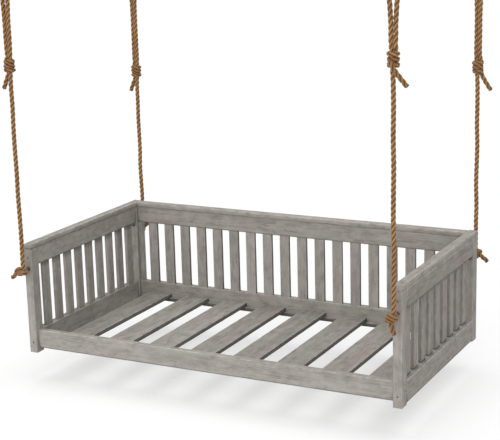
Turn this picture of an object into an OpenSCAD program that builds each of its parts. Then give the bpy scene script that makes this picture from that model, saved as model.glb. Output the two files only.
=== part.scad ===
// Hanging swing bed: a slatted wooden daybed that hangs from four ropes.
// Millimetres. +X along the bed, +Y to its back, +Z up. The origin is in the ceiling's
// plane, midway between the four ceiling hangers.

/* [Bed frame] */
// Length over the posts
bed_length = 2030; // [1800:10:2200]
// Depth over the posts
bed_depth = 1070; // [900:10:1200]
// Height of the side and back panels, over the caps
panel_height = 575; // [520:5:700]
// Height of the ceiling over the feet of the posts
ceiling_height = 1950; // [1900:10:2400]
// Radius of the eased edges of the boards
edge_r = 2.5; // [1:0.5:4]

/* [Posts and caps] */
// Width of a post, along the bed
post_w = 45; // [40:1:60]
// Depth of a post, across the bed
post_d = 60; // [55:1:80]
// Thickness of the caps on the panels
cap_t = 27; // [20:1:35]
// Radius of the rounded edges of the caps
cap_r = 6; // [2:1:8]
// Depth of the cap on the back panel
back_cap_d = 48; // [42:1:58]
// How far the back cap stands out in front of the back rails
back_cap_nose = 11; // [5:1:15]

/* [Rails] */
// Height of the top rail under each cap
top_rail_h = 91; // [70:1:110]
// Thickness of the side rails
side_rail_t = 39; // [32:1:40]
// Height of the lower side rails
side_rail_h = 106; // [80:1:120]
// Thickness of the back rails and of the stiles beside the back slats
back_rail_t = 32; // [28:1:36]
// Height of the lower back rail
back_rail_h = 103; // [80:1:120]
// How far the lower rails of the panels sit above the feet
rail_lift = 10; // [0:1:20]
// Distance of the back rails from the rear faces of the posts
back_setback = 10; // [0:1:12]
// Thickness of the front rail
front_rail_t = 32; // [28:1:36]
// Height of the front rail
front_rail_h = 95; // [80:1:110]
// How far the front rail sits above the feet
front_rail_lift = 25; // [15:1:40]
// How far the front rail sits behind the front faces of the posts
front_setback = 20; // [10:1:24]

/* [Panel slats] */
// Width of a panel slat
slat_w = 56; // [40:1:60]
// Thickness of a panel slat
slat_t = 17; // [12:1:22]
// Number of slats in each side panel
side_slats = 9; // [6:1:10]
// Number of slats in the back panel
back_slats = 18; // [14:1:19]
// Depth that the ends of a slat are let into the rails
slat_housing = 10; // [6:1:15]
// How far the slats sit behind the inner faces of the rails
slat_inset = 2; // [0:0.5:4]
// Play around a slat's end in its housing
slat_play = 0.2; // [0.1:0.1:0.5]
// Width of the stile at each end of the back panel
stile_w = 21; // [20:1:32]

/* [Deck] */
// Number of boards that carry the mattress
deck_slats = 8; // [6:1:10]
// Width of a deck board
deck_slat_w = 140; // [90:1:150]
// Gap between the outer deck boards and the posts' inner faces
deck_margin = 62; // [40:1:110]
// Thickness of a deck board
deck_slat_t = 22; // [16:1:25]
// Height of the deck's top over the feet
deck_top = 55; // [50:1:80]
// Height of the ledgers that carry the deck boards
ledger_h = 20; // [18:1:28]
// Depth of the ledgers
ledger_d = 25; // [20:1:35]
// Gap between the end of a deck board and the rail
deck_end_gap = 0.8; // [0.2:0.1:0.9]

/* [Screws] */
// Diameter of the frame screws
screw_d = 5; // [4:0.5:6]
// Diameter of a frame screw's flush head
screw_head_d = 10; // [8:0.5:12]
// Height of a flush head
screw_head_h = 3; // [2:0.5:4]
// Length of the screws through the posts
frame_screw_l = 95; // [85:5:100]
// Height of the lower side rail's screw over the rail's underside
side_screw_z = 45; // [43:1:46]
// Distance of the two screws in an end of the back's top rail
top_screw_pitch = 46; // [40:1:52]
// Height of the lower back rail's first screw over the rail's underside
back_screw_z = 25; // [20:1:28]
// Distance of the two screws in an end of the lower back rail
back_screw_pitch = 56; // [50:1:60]
// Height of the front rail's first screw over the rail's underside
front_screw_z = 50; // [48:1:55]
// Distance of the two screws in an end of the front rail
front_screw_pitch = 30; // [20:1:32]
// Diameter of the deck screws
deck_screw_d = 4; // [3:0.5:5]
// Diameter of a deck screw's flush head
deck_screw_head_d = 8; // [7:0.5:10]
// Length of the deck screws
deck_screw_l = 36; // [30:1:38]
// Distance of the two screws at a board's end
deck_screw_pitch = 80; // [50:1:84]
// Clearance of a drilled hole around its screw
screw_play = 0.05; // [0.02:0.01:0.2]

/* [Rope and knots] */
// Diameter of the rope
rope_d = 22; // [18:1:24]
// Distance of the ropes from the outer faces of the posts
rope_offset = 45; // [42:1:60]
// Distance of the lower knots under the top side rails
eye_below_rail = 12; // [12:1:40]
// Radius of a wrap in the upper knots
upper_wrap_r = 26; // [24:1:30]
// Half of the distance that the wraps of an upper knot spread along the bed
upper_wrap_spread = 8; // [4:1:12]
// Radius of a wrap in the lower knots
lower_wrap_r = 28; // [26:1:30]
// Half of the distance that the wraps of a lower knot spread along the bed
lower_wrap_spread = 6; // [4:1:14]
// How far a lower knot sits outwards of the rope
lower_wrap_shift = 6; // [0:1:8]
// Clearance between a rope's end and its seat in the lower knot
socket_play = 0.5; // [0.4:0.1:0.8]
// Widening of the lower knot's mouth for the swinging rope, in degrees
mouth_angle = 19; // [18:1:24]

/* [Eye bolts] */
// Diameter of an eye bolt's shank and eye wire
eye_bolt_d = 10; // [8:1:12]
// Radius of the eye, at the middle of its wire
eye_r = 19; // [18:0.5:21]
// Diameter of the collar against the post
collar_d = 22; // [18:1:24]
// Thickness of the collar
collar_t = 4; // [3:0.5:6]
// Diameter of the nut and washer
nut_d = 20; // [18:0.5:22]
// Thickness of the nut with its washer
nut_t = 10; // [8:0.5:11]
// Diameter of the counterbore for the nut
counterbore_d = 26; // [24:0.5:28]
// Depth of the counterbore
counterbore_h = 12; // [11.5:0.5:16]
// How far the shank's end stays behind the counterbore's mouth
shank_recess = 2; // [0.5:0.5:3]

/* [Ceiling hangers] */
// Diameter of the ceiling flange
flange_d = 64; // [56:1:80]
// Thickness of the flange
flange_t = 6; // [4:0.5:10]
// Diameter of the stud into the ceiling
stud_d = 12; // [10:1:16]
// Length of the stud over the ceiling's plane
stud_l = 60; // [40:5:90]
// Depth of the hanger pin under the ceiling's plane
pin_drop = 34; // [32:1:40]
// Diameter of the hanger pin
pin_d = 10; // [8:1:12]
// Diameter of the pin's heads
pin_head_d = 18; // [16:1:20]
// Thickness of a pin's head
pin_head_t = 4; // [3:0.5:6]
// Thickness of a hanger's lug
lug_t = 6; // [5:0.5:8]
// Width of a lug, twice the radius of its round end
lug_w = 28; // [26:1:32]
// Outer diameter of the ring's barrel on the pin
barrel_d = 22; // [20:1:24]
// Length of the barrel
barrel_l = 18; // [16:1:20]
// Diameter of the neck between the barrel and the ring
neck_d = 14; // [12:1:16]
// Diameter of the ring's wire
ring_wire_d = 12; // [10:1:14]
// Radius of the ring, at the middle of its wire
ring_r = 24; // [23:0.5:27]
// Distance of the ring's middle under the pin
ring_drop = 46; // [46:1:60]
// Running clearance of pins, shanks and collars
running_gap = 0.05; // [0.02:0.01:0.1]

/* [Hidden] */
$fn = 48;
CUT = 1;                              // how far a cutter runs past the face that it opens
POST_X = bed_length / 2 - post_w / 2; // middle of a post
POST_Y = bed_depth / 2;               // outer faces of the posts
ROPE_Y = POST_Y + rope_offset;
FEET_Z = -ceiling_height;
TOP_Z = FEET_Z + panel_height;
CAP_Z = TOP_Z - cap_t;                // underside of the caps
TOP_RAIL_Z = CAP_Z - top_rail_h;      // underside of the top rails
SIDE_RAIL_Z = FEET_Z + rail_lift;
SIDE_SLAT_Z = SIDE_RAIL_Z + side_rail_h;
BACK_SLAT_Z = SIDE_RAIL_Z + back_rail_h;
FRONT_RAIL_Z = FEET_Z + front_rail_lift;
DECK_Z = FEET_Z + deck_top - deck_slat_t;
INNER_X = bed_length / 2 - post_w;    // inner faces of the posts
INNER_Y = POST_Y - post_d;            // ends of the side rails
SIDE_FACE = bed_length / 2 - side_rail_t;
BACK_FACE = POST_Y - back_setback - back_rail_t;
FRONT_FACE = -POST_Y + front_setback; // front of the front rail
DECK_FRONT = FRONT_FACE + front_rail_t;
EYE_Z = TOP_RAIL_Z - eye_below_rail;
PIN_Z = -pin_drop;
RING_Z = PIN_Z - ring_drop;
WIRE_Z = RING_Z - ring_r;             // lowest part of the ring's wire
WRAP_H = 25;                          // height of one wrap of a knot

SIDE_PITCH = (2 * INNER_Y + slat_w) / (side_slats + 1);
BACK_EDGE = 65;                       // from a post to the first back slat
BACK_PITCH = (2 * (INNER_X - BACK_EDGE) - slat_w) / (back_slats - 1);
DECK_PITCH = (2 * (INNER_X - deck_margin) - deck_slat_w) / (deck_slats - 1);
TOP_SCREW_Z = TOP_RAIL_Z + top_rail_h / 2;
SIDE_SCREWS_Z = [SIDE_RAIL_Z + side_screw_z, TOP_SCREW_Z];
BACK_SCREWS_Z = [for (k = [0, 1])
    each [SIDE_RAIL_Z + back_screw_z + k * back_screw_pitch, TOP_SCREW_Z + (k - 0.5) * top_screw_pitch]];
FRONT_SCREWS_Z = [for (k = [0, 1]) FRONT_RAIL_Z + front_screw_z + k * front_screw_pitch];

CORNERS = [["front_left", -1, -1], ["front_right", 1, -1], ["rear_left", -1, 1], ["rear_right", 1, 1]];
CORNER_NODES = ["ceiling_hanger", "hanger_ring", "rope", "upper_knot", "lower_knot", "eye_bolt", "post"];

WOOD = [0.56, 0.54, 0.51];
ROPE = [0.70, 0.50, 0.30];
STEEL = [0.45, 0.45, 0.46];

module rounded_rect(w, h, r) {
    translate([r, 0]) square([w - 2 * r, h]);
    translate([0, r]) square([w, h - 2 * r]);
    for (x = [r, w - r], y = [r, h - r]) translate([x, y]) circle(r = r);
}

// A board from its corner, with four long edges eased
module board(at, size, along, r) {
    color(WOOD) translate(at)
        if (along == "x") rotate([90, 0, 90]) linear_extrude(size[0]) rounded_rect(size[1], size[2], r);
        else if (along == "y")
            translate([0, size[1], 0]) rotate([90, 0, 0]) linear_extrude(size[1]) rounded_rect(size[0], size[2], r);
        else linear_extrude(size[2]) rounded_rect(size[0], size[1], r);
}

// A screw with its flush head on z = 0, pointing up; gap widens it into its hole
module screw(d, head_d, l, gap) {
    cylinder(h = l + gap, d = d + 2 * gap);
    cylinder(h = screw_head_h, d1 = head_d + 2 * gap, d2 = d + 2 * gap);
    if (gap > 0) translate([0, 0, -CUT]) cylinder(h = CUT, d = head_d + 2 * gap);
}

// The screws through one post: into the side rails, then into the back or front rail
module corner_screws(sx, sy, gap = 0) {
    for (z = SIDE_SCREWS_Z)
        translate([sx * POST_X, sy * POST_Y, z]) rotate([90 * sy, 0, 0])
            screw(screw_d, screw_head_d, frame_screw_l, gap);
    rail_y = sy > 0 ? BACK_FACE + back_rail_t / 2 : FRONT_FACE + front_rail_t / 2;
    for (z = sy > 0 ? BACK_SCREWS_Z : FRONT_SCREWS_Z)
        translate([sx * bed_length / 2, rail_y, z]) rotate([0, -90 * sx, 0])
            screw(screw_d, screw_head_d, frame_screw_l, gap);
}

module frame_screws() {
    color(STEEL) for (c = CORNERS) corner_screws(c[1], c[2]);
}

// Middle of a deck board, counted from the left
function deck_x(i) = (i - (deck_slats + 1) / 2) * DECK_PITCH;
LEDGERS_Y = [DECK_FRONT + ledger_d / 2, BACK_FACE - ledger_d / 2];

module slat_screws(i, gap = 0, rows = LEDGERS_Y) {
    for (x = [-0.5, 0.5] * deck_screw_pitch, y = rows)
        translate([deck_x(i) + x, y, FEET_Z + deck_top]) rotate([180, 0, 0])
            screw(deck_screw_d, deck_screw_head_d, deck_screw_l, gap);
}

module deck_screws() {
    color(STEEL) for (i = [1:deck_slats]) slat_screws(i);
}

module deck_slat(i) {
    color(WOOD) difference() {
        board([deck_x(i) - deck_slat_w / 2, DECK_FRONT + deck_end_gap, DECK_Z],
              [deck_slat_w, BACK_FACE - DECK_FRONT - 2 * deck_end_gap, deck_slat_t], "y", edge_r);
        slat_screws(i, screw_play);
    }
}

module ledger(y) {
    color(WOOD) difference() {
        board([-INNER_X, y, DECK_Z - ledger_h], [2 * INNER_X, ledger_d, ledger_h], "x", edge_r);
        for (i = [1:deck_slats]) slat_screws(i, screw_play, [y + ledger_d / 2]);
    }
}

// The hole in a post for an eye bolt, with the counterbore for its nut
module eye_bolt_hole(sx, sy) {
    translate([sx * POST_X, sy * (POST_Y + CUT), EYE_Z]) rotate([90 * sy, 0, 0]) {
        cylinder(h = post_d + CUT, d = eye_bolt_d + 2 * running_gap);
        translate([0, 0, post_d + CUT - counterbore_h]) cylinder(h = counterbore_h + CUT, d = counterbore_d);
    }
}

module post(sx, sy) {
    color(WOOD) difference() {
        board([sx * POST_X - post_w / 2, sy > 0 ? INNER_Y : -POST_Y, FEET_Z],
              [post_w, post_d, panel_height - cap_t], "z", edge_r);
        corner_screws(sx, sy, screw_play);
        eye_bolt_hole(sx, sy);
    }
}

module side_cap(sx) {
    board([sx * POST_X - post_w / 2, -POST_Y, CAP_Z], [post_w, 2 * POST_Y, cap_t], "y", cap_r);
}

module back_cap() {
    board([-INNER_X, BACK_FACE - back_cap_nose, CAP_Z], [2 * INNER_X, back_cap_d, cap_t], "x", cap_r);
}

// The slats of a side panel, from bottom to top with their ends in the rails
module side_panel_slats(sx, play = 0) {
    face = sx > 0 ? SIDE_FACE + slat_inset : -SIDE_FACE - slat_inset - slat_t;
    for (i = [1:side_slats])
        board([face - play, -INNER_Y - slat_w + i * SIDE_PITCH - play, SIDE_SLAT_Z - slat_housing],
              [slat_t + 2 * play, slat_w + 2 * play, TOP_RAIL_Z - SIDE_SLAT_Z + 2 * slat_housing], "z", edge_r);
}

module back_panel_slats(play = 0) {
    for (i = [0:back_slats - 1])
        board([-INNER_X + BACK_EDGE + i * BACK_PITCH - play, BACK_FACE + slat_inset - play,
               BACK_SLAT_Z - slat_housing],
              [slat_w + 2 * play, slat_t + 2 * play, TOP_RAIL_Z - BACK_SLAT_Z + 2 * slat_housing], "z", edge_r);
}

module side_rail(sx, z, h) {
    color(WOOD) difference() {
        board([sx > 0 ? SIDE_FACE : -bed_length / 2, -INNER_Y, z], [side_rail_t, 2 * INNER_Y, h], "y", edge_r);
        side_panel_slats(sx, slat_play);
        for (sy = [-1, 1]) corner_screws(sx, sy, screw_play);
    }
}

module back_rail(z, h) {
    color(WOOD) difference() {
        board([-INNER_X, BACK_FACE, z], [2 * INNER_X, back_rail_t, h], "x", edge_r);
        back_panel_slats(slat_play);
        for (sx = [-1, 1]) corner_screws(sx, 1, screw_play);
    }
}

module front_rail() {
    color(WOOD) difference() {
        board([-INNER_X, FRONT_FACE, FRONT_RAIL_Z], [2 * INNER_X, front_rail_t, front_rail_h], "x", edge_r);
        for (sx = [-1, 1]) corner_screws(sx, -1, screw_play);
    }
}

module back_stiles() {
    for (x = [-INNER_X, INNER_X - stile_w])
        board([x, BACK_FACE, BACK_SLAT_Z], [stile_w, back_rail_t, TOP_RAIL_Z - BACK_SLAT_Z], "z", edge_r);
}

// The eye lies level around the rope's end; its shank runs through the post
module eye_bolt(sx, sy) {
    reach = rope_offset + post_d - shank_recess;
    color(STEEL) translate([sx * POST_X, sy * ROPE_Y, EYE_Z]) {
        rotate_extrude() translate([eye_r, 0]) circle(d = eye_bolt_d);
        rotate([90 * sy, 0, 0]) {
            translate([0, 0, eye_r]) cylinder(h = reach - eye_r, d = eye_bolt_d);
            translate([0, 0, rope_offset - collar_t - running_gap]) cylinder(h = collar_t, d = collar_d);
        }
    }
}

module eye_nut(sx, sy) {
    color(STEEL) translate([sx * POST_X, sy * (INNER_Y + counterbore_h), EYE_Z]) rotate([90 * sy, 0, 0])
        difference() {
            translate([0, 0, running_gap]) cylinder(h = nut_t, d = nut_d);
            translate([0, 0, -CUT]) cylinder(h = nut_t + 2 * CUT, d = eye_bolt_d + 2 * running_gap);
        }
}

module eye_nuts() {
    for (c = CORNERS) if (c[0] != "front_left") eye_nut(c[1], c[2]);
}

// One wrap of rope in a knot, a disc with a round rim
module wrap(r, z) {
    translate([0, 0, z]) rotate_extrude() {
        translate([0, -WRAP_H / 2]) square([r - WRAP_H / 2, WRAP_H]);
        translate([r - WRAP_H / 2, 0]) intersection() {
            circle(d = WRAP_H);
            translate([0, -WRAP_H / 2]) square([WRAP_H, WRAP_H]);
        }
    }
}

// Three wraps around the doubled rope
UPPER_KNOTS_Z = [-470, -377, -642, -553];
module upper_knot(i) {
    c = CORNERS[i];
    color(ROPE) translate([c[1] * POST_X, c[2] * ROPE_Y, UPPER_KNOTS_Z[i]])
        for (x = [-1, 1] * upper_wrap_spread, z = [-1, 0, 1] * (WRAP_H - 1))
            translate([x, 0, 0]) wrap(upper_wrap_r, z);
}

// Two wraps around the eye, with the rope's tail; the rope's end turns in its seat
LOWER_TAILS = [[64, -52], [17, -84], [-20, -78], [61, -64]]; // outwards along the bed, and up
module lower_knot(i) {
    c = CORNERS[i];
    tail = LOWER_TAILS[i];
    root = [tail[0] / 3, -WRAP_H / 2];
    seat_r = rope_d / 2 + socket_play;
    color(ROPE) translate([c[1] * POST_X, c[2] * ROPE_Y, EYE_Z]) difference() {
        union() {
            for (x = [-1, 1] * lower_wrap_spread, z = [-0.5, 0.5] * (WRAP_H - 1))
                translate([c[1] * lower_wrap_shift + x, 0, 0]) wrap(lower_wrap_r, z);
            translate([c[1] * root[0], 0, root[1]])
                rotate([0, atan2(c[1] * (tail[0] - root[0]), tail[1] - root[1]), 0])
                    cylinder(h = norm(tail - root), d = rope_d);
        }
        sphere(r = seat_r);
        cylinder(h = WRAP_H + CUT, r1 = seat_r, r2 = seat_r + (WRAP_H + CUT) * tan(mouth_angle));
    }
}

module ceiling_hanger(sx, sy) {
    lug_y = barrel_l / 2 + running_gap;
    color(STEEL) translate([sx * POST_X, sy * ROPE_Y, 0]) {
        cylinder(h = stud_l, d = stud_d);
        translate([0, 0, -flange_t]) cylinder(h = flange_t, d = flange_d);
        for (side = [-1, 1]) difference() {
            translate([0, side * (lug_y + lug_t / 2), PIN_Z]) {
                translate([-lug_w / 2, -lug_t / 2, 0]) cube([lug_w, lug_t, pin_drop - flange_t]);
                rotate([90, 0, 0]) cylinder(h = lug_t, d = lug_w, center = true);
            }
            translate([0, 0, PIN_Z]) rotate([90, 0, 0])
                cylinder(h = 4 * lug_y, d = pin_d + 2 * running_gap, center = true);
        }
    }
}

module hanger_pins() {
    half = barrel_l / 2 + lug_t + 2 * running_gap;
    color(STEEL) for (c = CORNERS) translate([c[1] * POST_X, c[2] * ROPE_Y, PIN_Z]) rotate([90, 0, 0]) {
        cylinder(h = 2 * half, d = pin_d, center = true);
        for (side = [0, 1]) mirror([0, 0, side]) translate([0, 0, half]) cylinder(h = pin_head_t, d = pin_head_d);
    }
}

// A barrel on the pin with the rope's ring under it
module hanger_ring(sx, sy) {
    color(STEEL) translate([sx * POST_X, sy * ROPE_Y, 0]) difference() {
        union() {
            translate([0, 0, PIN_Z]) rotate([90, 0, 0]) cylinder(h = barrel_l, d = barrel_d, center = true);
            translate([0, 0, RING_Z + ring_r]) cylinder(h = PIN_Z - RING_Z - ring_r, d = neck_d);
            translate([0, 0, RING_Z]) rotate([0, 90, 0]) rotate_extrude() translate([ring_r, 0]) circle(d = ring_wire_d);
        }
        translate([0, 0, PIN_Z]) rotate([90, 0, 0])
            cylinder(h = barrel_l + CUT, d = pin_d + 2 * running_gap, center = true);
    }
}

// The rope's route as [inwards along the bed, height]: from its end in the lower knot
// up to the upper knot, over the ring's wire, and back to the knot and the tail
ROPE_SIDES = 8;
function rope_route(knot_z) = [
    [0, EYE_Z], [0, knot_z - 70], [12, knot_z - 6],
    [12, WIRE_Z - 86], [18, WIRE_Z - 12],
    [18, WIRE_Z], [16, WIRE_Z + 9], [9, WIRE_Z + 16], [0, WIRE_Z + 18],
    [-9, WIRE_Z + 16], [-16, WIRE_Z + 9], [-18, WIRE_Z],
    [-18, WIRE_Z - 12], [-12, WIRE_Z - 86],
    [-12, knot_z + 4], [-20, knot_z - 22], [-36, knot_z - 50], [-82, knot_z - 110]];

// Direction of the route at a point, the mean of the stretches before and after it
function unit(v) = v / norm(v);
function route_dir(p, i) =
    unit((i > 0 ? unit(p[i] - p[i - 1]) : [0, 0]) + (i < len(p) - 1 ? unit(p[i + 1] - p[i]) : [0, 0]));

// One ring of points around the route, inside the plane that its direction is normal to
function rope_ring(p, d, r) = [
    for (k = [0:ROPE_SIDES - 1])
        let (a = 360 * k / ROPE_SIDES)
        [p[0] + r * sin(a) * d[1], r * cos(a), p[1] - r * sin(a) * d[0]]];

// The route's rings, with the round end that turns in the lower knot first
function rope_rings(p) = concat(
    [for (t = [75, 40]) rope_ring(p[0] - [0, rope_d / 2 * sin(t)], [0, 1], rope_d / 2 * cos(t))],
    [for (i = [0:len(p) - 1]) rope_ring(p[i], route_dir(p, i), rope_d / 2)]);

module sweep(rings) {
    n = len(rings[0]);
    last = len(rings) - 1;
    points = [for (ring = rings, p = ring) p];
    sides = [for (i = [0:last - 1], k = [0:n - 1])
        let (a = i * n + k, b = i * n + (k + 1) % n)
        each [[a, a + n, b + n], [a, b + n, b]]];
    polyhedron(points, concat([[for (k = [0:n - 1]) k]], sides, [[for (k = [n - 1:-1:0]) last * n + k]]));
}

module rope(i) {
    c = CORNERS[i];
    color(ROPE) translate([c[1] * POST_X, c[2] * ROPE_Y, 0]) mirror([c[1] > 0 ? 1 : 0, 0, 0])
        sweep(rope_rings(rope_route(UPPER_KNOTS_Z[i])));
}

for (i = [0:3]) {
    name = CORNERS[i][0];
    sx = CORNERS[i][1];
    sy = CORNERS[i][2];
    ceiling_hanger(sx, sy);
    hanger_ring(sx, sy);
    rope(i);
    upper_knot(i);
    lower_knot(i);
    eye_bolt(sx, sy);
    post(sx, sy);
}
for (i = [1:deck_slats])
    deck_slat(i);
hanger_pins();
eye_nut(-1, -1);  // eye_nut_front_left
eye_nuts();
side_cap(-1);  // left_cap
side_cap(1);  // right_cap
back_cap();
side_rail(-1, TOP_RAIL_Z, top_rail_h);  // left_top_rail
side_rail(1, TOP_RAIL_Z, top_rail_h);  // right_top_rail
back_rail(TOP_RAIL_Z, top_rail_h);  // back_top_rail
side_rail(-1, SIDE_RAIL_Z, side_rail_h);  // left_bottom_rail
side_rail(1, SIDE_RAIL_Z, side_rail_h);  // right_bottom_rail
back_rail(SIDE_RAIL_Z, back_rail_h);  // back_bottom_rail
front_rail();
ledger(DECK_FRONT);  // front_ledger
ledger(BACK_FACE - ledger_d);  // back_ledger
side_panel_slats(-1);  // left_slats
side_panel_slats(1);  // right_slats
back_panel_slats();  // back_slats
back_stiles();
deck_screws();
frame_screws();
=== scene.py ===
import math

import bpy
from mathutils import Matrix, Vector, noise


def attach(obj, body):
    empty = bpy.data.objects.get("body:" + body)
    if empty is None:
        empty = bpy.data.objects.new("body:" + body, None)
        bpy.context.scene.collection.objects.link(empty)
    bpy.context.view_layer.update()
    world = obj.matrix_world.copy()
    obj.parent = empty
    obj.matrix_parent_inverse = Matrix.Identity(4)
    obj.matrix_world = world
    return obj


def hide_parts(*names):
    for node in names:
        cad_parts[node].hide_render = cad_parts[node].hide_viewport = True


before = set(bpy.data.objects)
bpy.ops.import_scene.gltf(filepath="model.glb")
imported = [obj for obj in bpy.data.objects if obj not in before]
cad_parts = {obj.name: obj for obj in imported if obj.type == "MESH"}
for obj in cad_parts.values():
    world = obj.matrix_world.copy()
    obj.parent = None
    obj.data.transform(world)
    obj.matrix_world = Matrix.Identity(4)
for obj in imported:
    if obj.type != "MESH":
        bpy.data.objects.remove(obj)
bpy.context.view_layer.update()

# ------------ sizes, as in part.scad, in metres

# Posts
POST_X = 0.9925  # middle of a post
POST_Y = 0.535  # faces towards the front and the back
POST_W = 0.045
INNER_X, OUTER_X = 0.970, 1.015  # faces inside and outside the bed
INNER_Y = 0.475  # faces that the side rails meet
FEET = -1.950

# Caps and rails
CAP_UNDER, CAP_TOP = -1.402, -1.375
TOP_RAIL = -1.493  # underside of the top rails
SIDE_RAIL, SIDE_RAIL_TOP = -1.940, -1.834
BACK_RAIL_TOP = -1.837
SIDE_FACE = 0.976  # inner faces of the side rails
BACK_FACE, BACK_REAR = 0.493, 0.525
BACK_CAP_FACE, BACK_CAP_REAR = 0.482, 0.530
FRONT_FACE, FRONT_BACK = -0.515, -0.483
FRONT_RAIL, FRONT_RAIL_TOP = -1.925, -1.830

# Slats and stiles of the panels
SLAT_W = 0.056
SIDE_SLAT_IN, SIDE_SLAT_OUT = 0.978, 0.995
BACK_SLAT_IN, BACK_SLAT_OUT = 0.495, 0.512
HOUSING = 0.010  # how deep the slats stand in their rails
SIDE_STEP, SIDE_SLATS = 0.1006, 9
BACK_STEP, BACK_SLATS = 1.754 / 17, 18
BACK_EDGE = 0.065  # from a post to the first back slat
STILE_W = 0.021

# Deck
DECK_UNDER, DECK_TOP = -1.917, -1.895
DECK_FRONT, DECK_REAR = -0.4822, 0.4922
DECK_STEP, DECK_W, DECK_BOARDS = 1.676 / 7, 0.140, 8
LEDGER = -1.937  # underside of the ledgers
FRONT_LEDGER_BACK, BACK_LEDGER_FACE = -0.458, 0.468

# Screws: radius of the head, length, and depth of the hole
FRAME_SCREW = (0.005, 0.030, 0.020)
DECK_SCREW = (0.004, 0.018, 0.012)
POST_SCREWS_Z = (-1.895, -1.4475)  # in the faces towards the front and the back
BACK_SCREWS_Y, BACK_SCREWS_Z = 0.509, (-1.915, -1.859, -1.4705, -1.4245)
FRONT_SCREWS_Y, FRONT_SCREWS_Z = -0.499, (-1.875, -1.845)
DECK_SCREWS_X = (-0.040, 0.040)  # from the middle of a board
DECK_SCREWS_Y = (-0.4705, 0.4805)

# Ropes, ceiling rings and eye bolts
ROPE_Y = 0.580
ROPE_R = 0.011
LAY = 0.080  # length of one turn of a strand
WIRE_Z = -0.104  # lowest part of the ring's wire
EYE_Z = -1.505
KNOT_LENGTH = 0.44  # rope in an upper knot and its tail
BOLT_HOLE_R, BOLT_HOLE_LENGTH = 0.0052, 0.053
NUT_HOLE_R, NUT_HOLE_DEPTH = 0.013, 0.012
NUT_FLAT = 0.0083  # from the nut's middle to its flats
# Rings round a washer and its nut: height, radius, and 1 where the hexagon shows
NUT_RINGS = ((0.0, 0.0052, 0), (0.0, 0.0100, 0), (0.0018, 0.0100, 0), (0.0018, 0.0088, 1),
             (0.0022, 0.0092, 1), (0.0092, 0.0092, 1), (0.0098, 0.0086, 1), (0.0098, 0.0052, 0))

# Corners: name, left or right, front or back, height of the upper knot, tone of the post
CORNERS = (
    ("front_left", -1, -1, -0.470, 0.97),
    ("front_right", 1, -1, -0.377, 0.98),
    ("rear_left", -1, 1, -0.642, 0.92),
    ("rear_right", 1, 1, -0.553, 0.94),
)

FLOOR = FEET - 0.15  # the feet hang 150 mm over it

# ------------ looks

ALONG_BED, FRONT_TO_BACK, UPRIGHT = range(3)  # the way that a board and its grain run
EASED, SLAT_EASED = 0.0025, 0.0022  # radius of the boards' edges
SIDE_CAP_EASED, BACK_CAP_EASED = 0.004, 0.006
UNEVEN = 0.00035  # how far a board's faces wander
SHY = 0.0004  # a board ends this much inside its solid
WOOD_CREASE, ROPE_CREASE, SCREW_CREASE, NUT_CREASE = 35, 50, 30, 25

# A board's upper edges are worn pale and its lower edges get painted shade, on the caps less so
EDGE_WEAR_AND_SHADE = {"back_cap": (0.55, -0.25), "left_cap": (1.0, -0.7), "right_cap": (0.7, -0.12)}
PLAIN_WEAR_AND_SHADE = (1.0, -1.0)

# Colours, as screen values from 0 to 255
WOOD_LIGHT, WOOD_DARK = (188, 182, 176), (122, 117, 112)
WOOD_DRY, WOOD_DAMP = (180, 175, 169), (122, 117, 110)
WOOD_GREENISH, WOOD_PINKISH = (154, 155, 142), (162, 147, 142)
# the grime colour serves both real stains and the painted shade of lower edges
WOOD_WORN, WOOD_GRIME_AND_SHADE = (204, 197, 190), (78, 73, 67)
WOOD_CHECK, WOOD_SHADED = (74, 69, 64), (52, 48, 44)
ROPE_LIGHT, ROPE_DARK = (204, 157, 105), (101, 67, 31)
ROPE_OLIVE, ROPE_REDDISH = (150, 128, 72), (172, 116, 88)
# the groove colour is painted shade in the grooves between strands and over the cut ends
ROPE_GROOVE_SHADE, ROPE_HANDLED = (52, 31, 14), (106, 62, 30)
STEEL_SPOTS = (104, 82, 62)


# ------------ camera

def new_object(name, data):
    """An object in the scene."""
    made = bpy.data.objects.new(name, data)
    bpy.context.scene.collection.objects.link(made)
    return made


def hang_camera():
    """The camera at the photograph's angle, for a frame of 500 by 440."""
    azimuth, height, roll = (math.radians(angle) for angle in (27.23, 13.60, -1.54))
    stand = (3.056, -5.941, 0.330)
    back = Vector((math.sin(azimuth) * math.cos(height),
                   -math.cos(azimuth) * math.cos(height), math.sin(height)))
    level = Vector((math.cos(azimuth), math.sin(azimuth), 0))
    rise = back.cross(level)
    right = math.cos(roll) * level + math.sin(roll) * rise
    up = -math.sin(roll) * level + math.cos(roll) * rise
    data = bpy.data.cameras.new("camera")
    data.sensor_fit = "HORIZONTAL"
    data.sensor_width = 36
    data.lens = 98.29
    data.clip_end = 100
    camera = new_object("camera", data)
    turn = Matrix((right, up, back)).transposed().to_4x4()
    camera.matrix_world = Matrix.Translation(stand) @ turn
    bpy.context.scene.camera = camera


# ------------ node trees

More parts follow.
